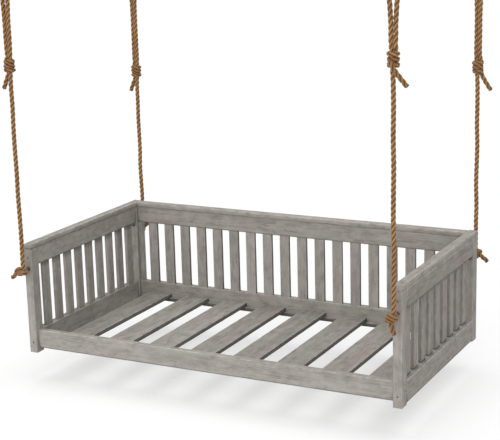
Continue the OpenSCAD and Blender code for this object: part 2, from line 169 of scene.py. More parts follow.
class Graph:
    """Adds nodes to a tree and joins them."""

    def __init__(self, tree):
        self.tree = tree
        self.nodes = tree.nodes

    def add(self, kind, inputs=None, **settings):
        node = self.nodes.new(kind)
        for key, value in settings.items():
            setattr(node, key, value)
        for key, value in (inputs or {}).items():
            self.feed(node.inputs[key], value)
        return node

    def feed(self, socket, value):
        if isinstance(value, bpy.types.NodeSocket):
            self.tree.links.new(value, socket)
        else:
            socket.default_value = value

    def math(self, operation, a, b=0.0):
        return self.add("ShaderNodeMath", {0: a, 1: b}, operation=operation).outputs[0]

    def vector(self, operation, a, b=(0, 0, 0)):
        return self.add("ShaderNodeVectorMath", {0: a, 1: b}, operation=operation).outputs[0]

    def noise(self, at, scale=1.0, detail=2.0, roughness=0.5, distortion=0.0):
        node = self.add("ShaderNodeTexNoise", {
            "Vector": at, "Scale": scale, "Detail": detail,
            "Roughness": roughness, "Distortion": distortion})
        return node.outputs[0]

    def stretched(self, at, stretch, **settings):
        """Noise that is finer across the grain or the rope than along it."""
        return self.noise(self.vector("MULTIPLY", at, stretch), **settings)

    def spread(self, value, low, high, to_low=0.0, to_high=1.0):
        node = self.add("ShaderNodeMapRange", {
            "Value": value, "From Min": low, "From Max": high,
            "To Min": to_low, "To Max": to_high}, clamp=True)
        return node.outputs[0]

    def blend(self, amount, a, b):
        return self.add("ShaderNodeMix", {0: amount, 6: a, 7: b}, data_type="RGBA").outputs[2]

    def join(self, x, y, z):
        return self.add("ShaderNodeCombineXYZ", {0: x, 1: y, 2: z}).outputs[0]

    def parts(self, vector):
        return self.add("ShaderNodeSeparateXYZ", {0: vector}).outputs

    def read(self, name, output="Fac"):
        return self.add("ShaderNodeAttribute", attribute_name=name).outputs[output]

    def place(self):
        return self.add("ShaderNodeTexCoord").outputs["Object"]

    def background_seen(self):
        """1 where the camera, a reflection or a view through glass meets it, and 0 elsewhere."""
        path = self.add("ShaderNodeLightPath").outputs
        seen = self.math("MAXIMUM", path["Is Camera Ray"], path["Is Glossy Ray"])
        return self.math("MAXIMUM", seen, path["Is Transmission Ray"])


def linear(colour):
    """A shader's colour from screen values from 0 to 255."""
    def one(v):
        v /= 255
        return v / 12.92 if v <= 0.04045 else ((v + 0.055) / 1.055) ** 2.4
    return (*(one(v) for v in colour), 1.0)


def new_group(name, kind, inputs, outputs):
    """An empty group with named sockets, and its graph, inputs and outputs."""
    tree = bpy.data.node_groups.new(name, kind)
    for label, socket, default in inputs:
        made = tree.interface.new_socket(label, in_out="INPUT", socket_type="NodeSocket" + socket)
        if default is not None:
            made.default_value = default
    for label, socket in outputs:
        tree.interface.new_socket(label, in_out="OUTPUT", socket_type="NodeSocket" + socket)
    graph = Graph(tree)
    return tree, graph, graph.add("NodeGroupInput").outputs, graph.add("NodeGroupOutput").inputs


def grain_group():
    """Weathered grain: fibres, wide bands and fine drying checks along the board."""
    tree, g, given, out = new_group(
        "weathered grain", "ShaderNodeTree",
        [("Grain", "Vector", None), ("Tone", "Float", 1.0),
         ("Light", "Color", (0.5, 0.5, 0.5, 1)),
         ("Dark", "Color", (0.2, 0.2, 0.2, 1)), ("Check depth", "Float", 0.6)],
        [("Colour", "Color"), ("Roughness", "Float"),
         ("Height", "Float")])
    grain = given["Grain"]
    waver = g.stretched(grain, (2.2, 7, 7), detail=1.0)
    aside = g.join(0.0, g.math("MULTIPLY", waver, 0.016), g.math("MULTIPLY", waver, 0.012))
    bent = g.vector("ADD", grain, aside)
    bands = g.stretched(bent, (0.9, 34, 34), detail=3.0, roughness=0.55, distortion=0.4)
    fibres = g.stretched(bent, (5, 240, 240), detail=4.0, roughness=0.62)
    hairs = g.stretched(bent, (16, 950, 950), roughness=0.6)
    patches = g.stretched(grain, (3.4, 10, 10), detail=3.0, roughness=0.6)
    haze = g.stretched(grain, (16, 30, 30), detail=4.0, roughness=0.65)
    checks = g.spread(g.stretched(bent, (7, 330, 330)), 0.645, 0.72)
    share = g.math("ADD", g.spread(bands, 0.32, 0.68, 0.08, 0.40),
                   g.spread(fibres, 0.34, 0.66, 0.0, 0.30))
    share = g.math("ADD", share, g.spread(hairs, 0.3, 0.7, 0.0, 0.20))
    colour = g.blend(share, given["Dark"], given["Light"])
    colour = g.blend(g.spread(haze, 0.47, 0.64, 0.0, 0.60), colour, linear(WOOD_DRY))
    colour = g.blend(g.spread(haze, 0.45, 0.30, 0.0, 0.62), colour, linear(WOOD_DAMP))
    colour = g.blend(g.spread(patches, 0.50, 0.66, 0.0, 0.50), colour, linear(WOOD_GREENISH))
    colour = g.blend(g.spread(patches, 0.48, 0.32, 0.0, 0.50), colour, linear(WOOD_PINKISH))
    colour = g.blend(g.math("MULTIPLY", checks, given["Check depth"]), colour, linear(WOOD_CHECK))
    toned = g.vector("SCALE", colour)
    g.feed(toned.node.inputs["Scale"], given["Tone"])
    g.feed(out["Colour"], toned)
    g.feed(out["Roughness"], g.spread(fibres, 0.3, 0.7, 0.92, 0.74))
    height = g.math("ADD", g.math("MULTIPLY", fibres, 0.6), g.math("MULTIPLY", hairs, 0.25))
    g.feed(out["Height"], g.math("SUBTRACT", height, g.math("MULTIPLY", checks, 0.8)))
    return tree


def wear_and_shade_group():
    """Edges rubbed paler in patches where Edge is positive, painted shade along them where it is negative,
    and stains.
    """
    tree, g, given, out = new_group(
        "edge wear", "ShaderNodeTree",
        [("Colour", "Color", None), ("Edge", "Float", 0.0),
         ("Worn", "Color", (0.6, 0.6, 0.6, 1)), ("Amount", "Float", 0.5),
         ("Grime", "Float", 0.2), ("Scale", "Float", 30.0)],
        [("Colour", "Color"), ("Mask", "Float")])
    place = g.place()
    broken = g.spread(g.noise(place, given["Scale"], detail=4.0, roughness=0.65), 0.40, 0.62)
    rubbed = g.math("MULTIPLY", g.math("MAXIMUM", given["Edge"], 0.0), broken)
    mask = g.math("MULTIPLY", rubbed, given["Amount"])
    stain_and_shade = g.spread(g.noise(place, 6.0, detail=5.0, roughness=0.7), 0.48, 0.72)
    stain_and_shade = g.math("MULTIPLY", stain_and_shade, given["Grime"])
    # a negative Edge paints shade along the edge in the grime colour
    stain_and_shade = g.math("MAXIMUM", stain_and_shade, g.spread(given["Edge"], 0.0, -1.0, 0.0, 0.9))
    stained_and_shaded = g.blend(stain_and_shade, given["Colour"], linear(WOOD_GRIME_AND_SHADE))
    g.feed(out["Colour"], g.blend(mask, stained_and_shaded, given["Worn"]))
    g.feed(out["Mask"], mask)
    return tree


def fibre_group():
    """Natural fibre yarns of a laid rope, from its straightened position, with painted shade in the grooves
    between strands.
    """
    tree, g, given, out = new_group(
        "rope fibre", "ShaderNodeTree",
        [("Lay", "Vector", None), ("Groove", "Float", 0.0),
         ("Yarns", "Float", 21.0), ("Light", "Color", (0.6, 0.4, 0.2, 1)),
         ("Dark", "Color", (0.2, 0.1, 0.05, 1))],
        [("Colour", "Color"), ("Height", "Float")])
    lay = given["Lay"]
    x, y, z = g.parts(lay)
    drift = g.stretched(lay, (180, 180, 50))
    angle = g.math("ARCTAN2", y, x)
    turns = g.math("ADD", g.math("MULTIPLY", angle, given["Yarns"]), g.math("MULTIPLY", drift, 7.0))
    turns = g.math("ADD", turns, g.math("MULTIPLY", z, 90.0))
    yarn = g.spread(g.math("SINE", turns), -1.0, 1.0)
    hairs = g.stretched(lay, (1500, 1500, 130), detail=3.0, roughness=0.65)
    stretch = g.stretched(lay, (30, 30, 11))
    share = g.math("ADD", g.spread(yarn, 0.0, 1.0, 0.0, 0.36), g.spread(hairs, 0.3, 0.7, 0.0, 0.44))
    share = g.math("ADD", share, g.spread(stretch, 0.3, 0.7, 0.0, 0.26))
    colour = g.blend(share, given["Dark"], given["Light"])
    colour = g.blend(g.spread(stretch, 0.54, 0.74, 0.0, 0.32), colour, linear(ROPE_OLIVE))
    colour = g.blend(g.spread(stretch, 0.46, 0.28, 0.0, 0.30), colour, linear(ROPE_REDDISH))
    # painted shade in the grooves and over the cut ends
    deep = g.spread(given["Groove"], 0.10, 0.90, 0.0, 0.90)
    g.feed(out["Colour"], g.blend(deep, colour, linear(ROPE_GROOVE_SHADE)))
    g.feed(out["Height"], g.math("ADD", g.math("MULTIPLY", yarn, 0.6), g.math("MULTIPLY", hairs, 0.5)))
    return tree


def emptied(holder):
    """The graph of a material or a world, with no nodes in it yet."""
    holder.use_nodes = True
    holder.node_tree.nodes.clear()
    return Graph(holder.node_tree)


def new_material(name):
    """A material with a Principled BSDF, and its graph and the shader's inputs."""
    material = bpy.data.materials.new(name)
    graph = emptied(material)
    shader = graph.add("ShaderNodeBsdfPrincipled")
    graph.add("ShaderNodeOutputMaterial", {"Surface": shader.outputs[0]})
    return material, graph, shader.inputs


def put_bump(g, shader, height, strength, depth):
    bump = g.add("ShaderNodeBump", {"Strength": strength, "Distance": depth, "Height": height})
    g.feed(shader["Normal"], bump.outputs[0])


def wood_material(name, grain, wear, rail_shade_above=0.0, rail_shade_below=0.0):
    """Grey weathered boards, with painted shade on marked side faces, and on slats painted shade where they
    enter the rails.
    """
    material, g, shader = new_material(name)
    board = g.add("ShaderNodeGroup", {
        "Grain": g.read("grain", "Vector"), "Tone": g.read("tone"),
        "Light": linear(WOOD_LIGHT), "Dark": linear(WOOD_DARK)}, node_tree=grain)
    worn = g.add("ShaderNodeGroup", {
        "Colour": board.outputs["Colour"], "Edge": g.read("edge"),
        "Worn": linear(WOOD_WORN), "Amount": 0.85, "Grime": 0.16}, node_tree=wear)
    # painted shade: darker long side faces on the boards that ask for it
    shaded = g.read("flank")
    if rail_shade_above:
        # painted shade on the slats just below the top rail and just above the bottom rail
        height = g.parts(g.place())[2]
        above = g.spread(height, TOP_RAIL - 0.034, TOP_RAIL - 0.003, 0.0, rail_shade_above)
        below = g.spread(height, SIDE_RAIL_TOP + 0.015, SIDE_RAIL_TOP + 0.002, 0.0, rail_shade_below)
        shaded = g.math("MAXIMUM", shaded, g.math("MAXIMUM", above, below))
    g.feed(shader["Base Color"], g.blend(shaded, worn.outputs["Colour"], linear(WOOD_SHADED)))
    g.feed(shader["Roughness"], board.outputs["Roughness"])
    shader["Specular IOR Level"].default_value = 0.3
    put_bump(g, shader, board.outputs["Height"], 0.5, 0.0012)
    return material


def rope_material(fibre):
    """Golden brown laid rope of natural fibre, darker where it is knotted."""
    material, g, shader = new_material("natural rope")
    strands = g.add("ShaderNodeGroup", {
        "Lay": g.read("lay", "Vector"), "Groove": g.read("groove"),
        "Light": linear(ROPE_LIGHT), "Dark": linear(ROPE_DARK)}, node_tree=fibre)
    handled = g.spread(g.read("knotted"), 0.0, 1.0, 0.0, 0.30)
    g.feed(shader["Base Color"], g.blend(handled, strands.outputs["Colour"], linear(ROPE_HANDLED)))
    shader["Roughness"].default_value = 0.82
    shader["Specular IOR Level"].default_value = 0.25
    shader["Sheen Weight"].default_value = 0.15
    put_bump(g, shader, strands.outputs["Height"], 0.6, 0.0009)
    return material


def metal_material(name, bright, dull, rough, wear):
    """Coated steel with a mottled bloom, brownish spots and fine scratches."""
    material, g, shader = new_material(name)
    place = g.place()
    bloom = g.noise(place, 160.0, detail=4.0, roughness=0.6)
    worn = g.add("ShaderNodeGroup", {
        "Colour": g.blend(g.spread(bloom, 0.35, 0.65), linear(dull), linear(bright)),
        "Edge": g.spread(bloom, 0.55, 0.75), "Worn": linear(STEEL_SPOTS),
        "Amount": 0.35, "Scale": 90.0}, node_tree=wear)
    g.feed(shader["Base Color"], worn.outputs["Colour"])
    g.feed(shader["Metallic"], g.spread(worn.outputs["Mask"], 0.0, 0.5, 1.0, 0.6))
    g.feed(shader["Roughness"], g.spread(bloom, 0.3, 0.7, rough + 0.12, rough - 0.08))
    put_bump(g, shader, g.stretched(place, (900, 900, 90)), 0.25, 0.0003)
    return material


# ------------ meshes

def mesh_object(name, points, faces):
    """A new object in the scene from its points and faces."""
    mesh = bpy.data.meshes.new(name)
    mesh.from_pydata([tuple(p) for p in points], [], faces)
    mesh.update()
    return new_object(name, mesh)


def sleeve(base, rows, sides, looped=False):
    """Faces that join rings of points, one after the other, from the point numbered base."""
    faces = []
    for row in range(rows if looped else rows - 1):
        here = base + row * sides
        there = base + (row + 1) % rows * sides
        for k in range(sides):
            beside = (k + 1) % sides
            faces.append((here + k, here + beside, there + beside, there + k))
    return faces


def closed_sleeve(base, rows, sides):
    """A sleeve with a flat face over each end."""
    first = tuple(base + k for k in reversed(range(sides)))
    last = tuple(base + (rows - 1) * sides + k for k in range(sides))
    return [first] + sleeve(base, rows, sides) + [last]


def put_attribute(piece, name, kind, values):
    """Stores one value for each point: a number or a vector."""
    held = piece.data.attributes.new(name, kind, "POINT")
    if kind == "FLOAT":
        held.data.foreach_set("value", values)
    else:
        held.data.foreach_set("vector", [c for v in values for c in v])


def smooth(piece, crease):
    """Smooth faces, with a crease where they meet at more than so many degrees."""
    piece.data.polygons.foreach_set("use_smooth", [True] * len(piece.data.polygons))
    piece.data.set_sharp_from_angle(angle=math.radians(crease))


def finish_piece(piece, body, material, nodes):
    """Gives a piece its material, its body and the CAD nodes that it stands for."""
    piece.data.materials.clear()
    piece.data.materials.append(material)
    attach(piece, body)
    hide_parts(*nodes)


def bake(piece):
    """Puts the piece's evaluated mesh in place of its modifiers."""
    depsgraph = bpy.context.evaluated_depsgraph_get()
    mesh = bpy.data.meshes.new_from_object(piece.evaluated_get(depsgraph))
    piece.modifiers.clear()
    piece.data = mesh
    mesh.name = piece.name


# ------------ boards

def board_outline(width, height, radius):
    """Points round a board's section, with how near each is to an edge."""
    arcs = 4
    inset = min(0.006, width / 2 - radius - 0.0005, height / 2 - radius - 0.0005)
    outline = []
    for turn, (sx, sy) in enumerate(((1, 1), (-1, 1), (-1, -1), (1, -1))):
        centre = (sx * (width / 2 - radius), sy * (height / 2 - radius))
        start = turn * math.pi / 2
        for step in range(-1, arcs + 2):
            angle = start + math.pi / 2 * min(max(step, 0), arcs) / arcs
            x = centre[0] + radius * math.cos(angle)
            y = centre[1] + radius * math.sin(angle)
            edge = 1.0
            if step in (-1, arcs + 1):
                sideways = angle - math.pi / 2 if step == -1 else angle + math.pi / 2
                x += inset * math.cos(sideways)
                y += inset * math.sin(sideways)
                edge = 0.0
            outline.append((x, y, edge))
    return outline


def board_stations(length, radius):
    """Places along a board with how far its section is drawn in there, to ease the ends."""
    ease, margin, apart = radius * 0.5, 0.012, 0.045
    span = length - 2 * margin
    inner = max(2, round(span / apart))
    stations = [(0.0, ease), (0.3 * ease, 0.35 * ease), (ease, 0.0)]
    stations += [(margin + span * i / inner, 0.0) for i in range(inner + 1)]
    stations += [(length - ease, 0.0), (length - 0.3 * ease, 0.35 * ease), (length, ease)]
    return stations


def plank(name, low, high, axis, radius, seed):
    """A board lofted along its axis, with eased edges and ends that are a little uneven."""
    low, high = Vector(low), Vector(high)
    a, b = {ALONG_BED: (1, 2), FRONT_TO_BACK: (2, 0), UPRIGHT: (0, 1)}[axis]
    start, end = low[axis] + SHY, high[axis] - SHY
    middle = (low + high) / 2
    outline = board_outline(high[a] - low[a], high[b] - low[b], radius)
    stations = board_stations(end - start, radius)
    points = []
    for along, drawn_in in stations:
        bow = noise.noise_vector(Vector((along * 1.7, seed * 3.1, 4.0))) * UNEVEN * 1.4
        for x, y, edge in outline:
            reach = 1 - drawn_in / max(abs(x), abs(y), 0.001)
            chance = noise.noise(Vector((along * 14, x * 60 + seed * 7, y * 60)))
            worn = max(0.0, chance * UNEVEN * (0.4 + 1.2 * edge))
            place = Vector((0, 0, 0))
            place[axis] = start + along
            place[a] = middle[a] + x * reach + bow.x - math.copysign(worn, x)
            place[b] = middle[b] + y * reach + bow.y - math.copysign(worn, y)
            points.append(place)
    return mesh_object(name, points, closed_sleeve(0, len(stations), len(outline)))


def grade(piece, low, high, axis, radius, seed, tone, flank, edge_wear_and_shade):
    """Writes each point's place in the grain, its nearness to an edge, the tone and the painted shade on its
    side faces.
    """
    low, high = Vector(low), Vector(high)
    across, depth = [i for i in range(3) if i != axis]
    if high[depth] - low[depth] > high[across] - low[across]:
        across, depth = depth, across
    middle = (low + high) / 2
    side = (high[across] - low[across]) / 2 - 0.0009
    shift = Vector((seed * 1.37 % 11, seed * 0.73 % 7, seed * 0.41 % 5))
    band = radius * (1.2 if axis == UPRIGHT else 2.4)
    upper, under = edge_wear_and_shade
    grain, edges, flank_shades = [], [], []
    for vertex in piece.data.vertices:
        p = vertex.co - middle
        grain.append(Vector((p[axis], p[across], p[depth])) + shift)
        room = sorted((high[i] - low[i]) / 2 - abs(p[i]) for i in range(3))
        near = max(0.0, 1 - room[1] / band)
        # lying boards: upper edges positive for pale wear, lower edges negative for painted shade
        edges.append(near if axis == UPRIGHT else near * (under if p.z < 0 else upper))
        # painted shade on the long side faces, as strong as the value given
        flank_shades.append(flank if abs(p[across]) > side else 0.0)
    put_attribute(piece, "grain", "FLOAT_VECTOR", grain)
    put_attribute(piece, "edge", "FLOAT", edges)
    put_attribute(piece, "tone", "FLOAT", [tone] * len(edges))
    put_attribute(piece, "flank", "FLOAT", flank_shades)


def cut(piece, cutter):
    """Cuts the holes of a closed cutter out of a board."""
    modifier = piece.modifiers.new("holes", "BOOLEAN")
    modifier.operation = "DIFFERENCE"
    modifier.solver = "EXACT"
    modifier.object = cutter
    bake(piece)
    bpy.data.objects.remove(cutter)


def make_board(name, low, high, axis, radius, seed, tone, holes=(), flank=0.0, edge_wear_and_shade=PLAIN_WEAR_AND_SHADE):
    """A board with its holes, the attributes that its looks read, and smooth faces."""
    piece = plank(name, low, high, axis, radius, seed)
    if holes:
        cut(piece, round_bars("holes", holes))
    grade(piece, low, high, axis, radius, seed, tone, flank, edge_wear_and_shade)
    smooth(piece, WOOD_CREASE)
    return piece


def round_bars(name, bars):
    """Turned shapes, each (start, direction, [(distance, radius), ...]), as one mesh."""
    sides = 28
    points, faces = [], []
    for start, direction, profile in bars:
        start, direction = Vector(start), Vector(direction).normalized()
        side = direction.orthogonal().normalized()
        other = direction.cross(side)
        faces += closed_sleeve(len(points), len(profile), sides)
        for distance, radius in profile:
            for k in range(sides):
                angle = 2 * math.pi * k / sides
                points.append(start + direction * distance
                              + (side * math.cos(angle) + other * math.sin(angle)) * radius)
    return mesh_object(name, points, faces)


def sink(radius, depth):
    """The profile of a countersunk hole, from just outside the face."""
    mouth = radius + 0.0002
    return [(-0.002, mouth), (0.0002, mouth), (0.003, radius * 0.55), (depth, radius * 0.5)]


# ------------ ropes

def part_way(p, q, start, end, at):
    """The point between p, which belongs to start, and q, which belongs to end."""
    return p * ((end - at) / (end - start)) + q * ((at - start) / (end - start))


def smooth_line(points, step):
    """Points on one smooth curve through the given ones, evenly apart, and its length."""
    points = [Vector(p) for p in points]
    pieces = 24
    fine = []
    for i in range(len(points) - 1):
        p0 = points[i - 1] if i else points[0] * 2 - points[1]
        p1, p2 = points[i], points[i + 1]
        p3 = points[i + 2] if i + 2 < len(points) else points[-1] * 2 - points[-2]
        t = [0.0]
        for a, b in ((p0, p1), (p1, p2), (p2, p3)):
            t.append(t[-1] + max((b - a).length, 1e-6) ** 0.5)
        for j in range(pieces):
            u = t[1] + (t[2] - t[1]) * j / pieces
            a1 = part_way(p0, p1, t[0], t[1], u)
            a2 = part_way(p1, p2, t[1], t[2], u)
            a3 = part_way(p2, p3, t[2], t[3], u)
            b1 = part_way(a1, a2, t[0], t[2], u)
            b2 = part_way(a2, a3, t[1], t[3], u)
            fine.append(part_way(b1, b2, t[1], t[2], u))
    fine.append(points[-1])
    total = sum((b - a).length for a, b in zip(fine, fine[1:]))
    count = max(4, round(total / step))
    line, gone, i = [fine[0]], 0.0, 0
    for k in range(1, count):
        wanted = total * k / count
        while gone + (fine[i + 1] - fine[i]).length < wanted:
            gone += (fine[i + 1] - fine[i]).length
            i += 1
        line.append(fine[i].lerp(fine[i + 1], (wanted - gone) / (fine[i + 1] - fine[i]).length))
    line.append(fine[-1])
    return line, total


def strand_outline():
    """Points round a section of three strands: angle, radius, and how deep in a groove."""
    strands, per_strand = 3, 9
    lobe, offset = 0.58 * ROPE_R, 0.49 * ROPE_R
    outline = []
    for strand in range(strands):
        for k in range(per_strand):
            local = math.radians(-60 + 120 * k / per_strand)
            radius = offset * math.cos(local) + math.sqrt(lobe ** 2 - (offset * math.sin(local)) ** 2)
            outline.append((strand * 2 * math.pi / 3 + local, radius, abs(math.degrees(local)) / 60))
    return outline


def laid_rope(name, line, seed, knot_length, phase=0.0):
    """A rope of three strands laid right-handed along the line, with cut ends.

    Its last stretch, knot_length long, is the part that is knotted.
    """
    outline = strand_outline()
    n, last = len(outline), len(line) - 1
    points, lay, groove, along = [], [], [], []
    side = None
    gone = 0.0
    for i, centre in enumerate(line):
        ahead = line[min(i + 1, last)] - line[max(i - 1, 0)]
        ahead.normalize()
        if side is None:
            side = ahead.orthogonal().normalized()
        else:
            side = (side - ahead * side.dot(ahead)).normalized()
            gone += (centre - line[i - 1]).length
        other = ahead.cross(side)
        twist = phase + 2 * math.pi * gone / LAY
        end = i in (0, last)
        splay = 0.88 if end else 1.0
        for k, (angle, radius, depth) in enumerate(outline):
            turned = angle + twist
            rough = 1 + 0.035 * noise.noise(Vector((gone * 90, k * 0.9, seed)))
            reach = radius * splay * rough
            points.append(centre + (side * math.cos(turned) + other * math.sin(turned)) * reach)
            lay.append((reach * math.cos(turned), reach * math.sin(turned), gone + seed))
            groove.append(1.0 if end else max(0.0, depth - 0.35) / 0.65)
            along.append(gone)
    faces = sleeve(0, len(line), n)
    for row, before in ((0, 1), (last, last - 1)):
        ahead = (line[row] - line[before]).normalized()
        tip = len(points)
        points.append(line[row] + ahead * 0.0015)
        lay.append((0.0, 0.0, gone * (row > 0) + seed))
        groove.append(1.0)
        along.append(gone * (row > 0))
        for k in range(n):
            here, beside = row * n + k, row * n + (k + 1) % n
            faces.append((here, beside, tip) if row else (beside, here, tip))
    piece = mesh_object(name, points, faces)
    put_attribute(piece, "lay", "FLOAT_VECTOR", lay)
    put_attribute(piece, "groove", "FLOAT", groove)
    knotted = [min(1.0, max(0.0, (length - (gone - knot_length)) / 0.03)) for length in along]
    put_attribute(piece, "knotted", "FLOAT", knotted)
    smooth(piece, ROPE_CREASE)
    return piece


def at_corner(sx, sy, point):
    """A point given in millimetres as inwards along the bed, back, and up, at a corner."""
    u, v, w = point
    return Vector((sx * POST_X - sx * u / 1000, sy * ROPE_Y + v / 1000, w / 1000))


def wraps(turns, half_w, half_d, pitch, top, way):
    """Points of the wraps of a knot: level across the front, and a step down behind."""
    per_turn = 12
    made = []
    for i in range(round(turns * per_turn) + 1):
        turn, part = divmod(i / per_turn, 1)
        down = max(0.0, (part - 0.58) / 0.42)
        level = top - pitch * (turn + down * down * (3 - 2 * down))
        lean = 1.1 * math.sin(2.3 * i)
        u = -way * half_w * math.cos(2 * math.pi * part)
        v = -half_d * math.sin(2 * math.pi * part)
        made.append((u + lean, v, level + 0.5 * lean))
    return made


def upper_knot(name):
    """Points of an upper knot and its tail, in millimetres from the knot's middle."""
    if name == "front_right":
        route = [(-9, 8, 44), (0, 15, 34), (12, 12, 27)] + wraps(2.5, 18, 16, 23, 24, -1)
        return route + [
            (-13, 13, -24), (-2, 17, -22), (8, 11, -17), (10, 0, -12), (7, -14, -9), (1, -27, -13),
            (-8, -33, -27), (-19, -32, -44), (-35, -29, -66), (-53, -26, -88), (-71, -22, -110)]
    reach = 1.0 if name == "rear_right" else 0.6
    route = [(-11, 4, 42)] + wraps(2.5, 18.5, 16, 20.5, 21, 1)
    return route + [(13, 13, -22), (1, 17, -24), (-11, 13, -30), (-21 * reach, 6, -43),
                    (-33 * reach, 2, -62), (-50 * reach, 0, -87), (-68 * reach, 0, -113)]


def hanging_rope(name, sx, sy, knot_z):
    """The rope from the lower knot over the ceiling ring and down to the upper knot and its tail."""
    k, w, foot = knot_z * 1000, WIRE_Z * 1000, EYE_Z * 1000
    start = foot + 60
    drop = k - 90 - start
    route = [(0, 0, foot), (0, 0, start)]
    route += [(1.5 * math.sin(i * 2.1 + sx), 1.2 * math.sin(i * 1.3 + sy), start + drop * i / 8)
              for i in range(1, 8)]
    route += [(1, 0, k - 90), (3, 0, k - 45), (5, 2, k), (7, 1, k + 36), (9, 0, k + 60)]
    rise = w - 90 - (k + 60)
    lower, higher = k + 60 + rise * 0.3, k + 60 + rise * 0.7
    turned = {"front_left": 1, "front_right": -2, "rear_left": -2, "rear_right": 4}[name]
    over_ring = [(16, -40), (18, -12), (18, 0), (16, 9), (9, 16), (0, 18),
                 (-9, 16), (-16, 9), (-18, 0), (-18, -12), (-16, -40)]
    route += [(10, turned, lower), (10, turned, higher), (13, 0, w - 86)]
    route += [(u, 0, w + z) for u, z in over_ring]
    route += [(-13, 0, w - 86), (-10, -turned, higher), (-10, -turned, lower), (-9, 0, k + 60)]
    route += [(u, v, k + z) for u, v, z in upper_knot(name)]
    line, length = smooth_line([at_corner(sx, sy, p) for p in route], 0.0042)
    piece = laid_rope("rope_" + name + "_laid", line, 1.7 * sx + 0.9 * sy + 4, KNOT_LENGTH)
    return piece, line, length


# Points of the lower knots, in millimetres from the eye bolt's eye
LOWER_ROUTES = {
    "outward": [
        (0, 2, -3), (8, 11, -3), (16, 5, -5), (15, -9, -7), (5, -18, -8), (-8, -19, -8),
        (-20, -12, -6), (-23, 3, -2), (-16, 11, 5), (-10, 4, 10), (-9, -11, 9), (-11, -21, 1),
        (-12, -20, -9), (-14, -9, -15), (-17, 5, -12), (-20, 12, -2), (-22, 6, 8), (-23, -6, 11),
        (-25, -18, 5), (-29, -20, -5), (-36, -13, -13), (-46, -8, -22), (-57, -6, -31),
        (-67, -5, -39)],
    "hanging": [
        (0, 2, -3), (-7, 10, -3), (-12, 3, 0), (-9, -11, 3), (1, -19, 4), (13, -19, 3),
        (24, -12, 0), (28, 2, -4), (19, 13, -7), (6, 16, -8), (-6, 11, -9), (-11, -1, -10),
        (-4, -15, -12), (8, -22, -12), (20, -20, -13), (29, -11, -16), (28, 1, -20), (19, 4, -24),
        (12, -3, -30), (8, -7, -41), (4, -8, -54), (0, -7, -68), (-4, -6, -82)],
}


def lower_knot(name, sx, sy, kind, seed):
    """The knot around an eye bolt, with its tail."""
    route = [at_corner(sx, sy, (u, v, w + EYE_Z * 1000)) for u, v, w in LOWER_ROUTES[kind]]
    line, length = smooth_line(route, 0.0036)
    piece = laid_rope("knot_" + name + "_laid", line, seed, length, 0.6)
    return piece, line, length


# ------------ rows of pieces

def slat_row_tree():
    """Repeats one slat along a step, each with its own place in the grain and its own tone."""
    tree, g, given, out = new_group(
        "slat row", "GeometryNodeTree",
        [("Geometry", "Geometry", None), ("Count", "Int", 9),
         ("Step", "Vector", (0.1, 0, 0)), ("Darkest", "Float", 0.86),
         ("Lightest", "Float", 1.1), ("Seed", "Int", 1),
         ("Material", "Material", None)],
        [("Geometry", "Geometry")])

    def store(geometry, name, kind, domain, value):
        node = g.add("GeometryNodeStoreNamedAttribute", {"Geometry": geometry, "Name": name},
                     data_type=kind, domain=domain)
        g.feed(node.inputs["Value"], value)
        return node.outputs[0]

    def named(name, kind):
        return g.add("GeometryNodeInputNamedAttribute", {"Name": name}, data_type=kind).outputs[0]

    line = g.add("GeometryNodeMeshLine", {"Count": given["Count"], "Offset": given["Step"]}, mode="OFFSET")
    copies = g.add("GeometryNodeInstanceOnPoints",
                   {"Points": line.outputs[0], "Instance": given["Geometry"]})
    tone = g.add("FunctionNodeRandomValue", {"Seed": given["Seed"]}, data_type="FLOAT")
    g.feed(tone.inputs[2], given["Darkest"])
    g.feed(tone.inputs[3], given["Lightest"])
    shift_seed = g.math("ADD", given["Seed"], 5)
    shift = g.add("FunctionNodeRandomValue", {"Seed": shift_seed}, data_type="FLOAT_VECTOR")
    g.feed(shift.inputs[0], (0, 0, 0))
    g.feed(shift.inputs[1], (9, 7, 5))
    row = store(copies.outputs[0], "tone_here", "FLOAT", "INSTANCE", tone.outputs[1])
    row = store(row, "grain_shift", "FLOAT_VECTOR", "INSTANCE", shift.outputs[0])
    row = g.add("GeometryNodeRealizeInstances", {"Geometry": row}).outputs[0]
    moved = g.vector("ADD", named("grain", "FLOAT_VECTOR"), named("grain_shift", "FLOAT_VECTOR"))
    row = store(row, "grain", "FLOAT_VECTOR", "POINT", moved)
    row = store(row, "tone", "FLOAT", "POINT", named("tone_here", "FLOAT"))
    done = g.add("GeometryNodeSetMaterial", {"Geometry": row, "Material": given["Material"]})
    g.feed(out["Geometry"], done.outputs[0])
    return tree


